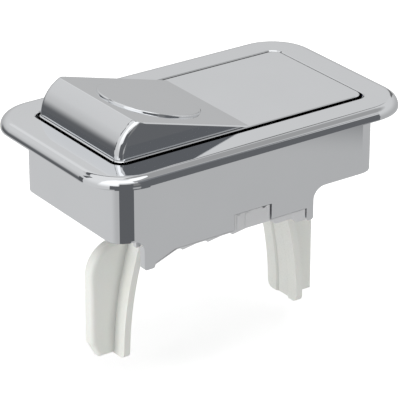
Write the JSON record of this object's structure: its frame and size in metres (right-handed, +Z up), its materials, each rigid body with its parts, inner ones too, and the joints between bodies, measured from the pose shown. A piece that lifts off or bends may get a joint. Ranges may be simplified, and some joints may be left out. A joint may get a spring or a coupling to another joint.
{
  "type": "push button cistern actuator",
  "caption": "Rectangular chrome drop-in surround with a wedge-topped rocker plate and hanging plastic push legs that work a toilet cistern's flush valve from the lid.",
  "frame": {"origin": "centre of the cut-out in the cistern lid, on the plane that the flange sits on", "axes": "+Z up out of the lid, +X along the plate away from the wedge, -Y towards the user"},
  "size_m": [0.11, 0.067, 0.0824],
  "materials": {
    "chrome": "bright chrome plating on moulded plastic",
    "white_plastic": "smooth off-white moulding",
    "grey_plastic": "light grey moulding",
    "steel": "drawn stainless steel",
    "rubber": "black rubber"
  },
  "bodies": {
    "housing": {"surround_housing": "chrome", "bearing_carrier": "grey_plastic", "rocker_axle": "steel", "front_axle_clip": "steel", "back_axle_clip": "steel", "return_spring": "steel", "front_rest_buffer": "rubber", "back_rest_buffer": "rubber", "front_press_buffer": "rubber", "back_press_buffer": "rubber"},
    "rocker": {"rocker_cap": "chrome", "rocker_frame": "white_plastic", "left_leg_pin": "steel", "right_leg_pin": "steel"},
    "left_leg": {"left_leg": "white_plastic"},
    "right_leg": {"right_leg": "white_plastic"}
  },
  "joints": [
    {"name": "rocker_pivot", "type": "hinge", "parent": "housing", "child": "rocker", "pos_m": [0, 0, -0.0024], "axis": [0, -1, 0], "range_deg": [0, 15.2], "stiffness_Nm_per_rad": 0.6, "springref_deg": -5.73, "deforming": ["return_spring"]},
    {"name": "left_leg_hinge", "type": "hinge", "parent": "rocker", "child": "left_leg", "pos_m": [-0.02189, 0, -0.0024], "axis": [0, -1, 0], "range_deg": [-15.2, 0]},
    {"name": "right_leg_hinge", "type": "hinge", "parent": "rocker", "child": "right_leg", "pos_m": [0.02189, 0, -0.0024], "axis": [0, -1, 0], "range_deg": [-15.2, 0]}
  ],
  "couplings": [
    {"joint": "left_leg_hinge", "follows": "rocker_pivot", "ratio": -1},
    {"joint": "right_leg_hinge", "follows": "rocker_pivot", "ratio": -1}
  ]
}
